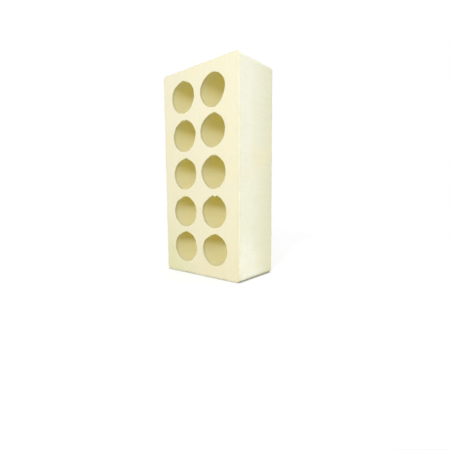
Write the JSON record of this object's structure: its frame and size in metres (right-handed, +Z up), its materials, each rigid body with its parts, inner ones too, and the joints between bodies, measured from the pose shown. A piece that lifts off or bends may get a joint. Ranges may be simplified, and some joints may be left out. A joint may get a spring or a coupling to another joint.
{
  "type": "clay brick",
  "caption": "Pale yellow fired clay facing brick, wire cut, with round core holes through its thickness; laid in mortar to build walls.",
  "frame": {"origin": "middle of the end that the brick stands on", "axes": "+Z up along the length, +X across the width towards the facing side, +Y along the core holes, away from the cut face that the picture shows"},
  "size_m": [0.1, 0.055, 0.205],
  "materials": {
    "fired_clay": "matt, fine-grained, unglazed"
  },
  "bodies": {
    "root": {"brick": "fired_clay"}
  },
  "joints": []
}
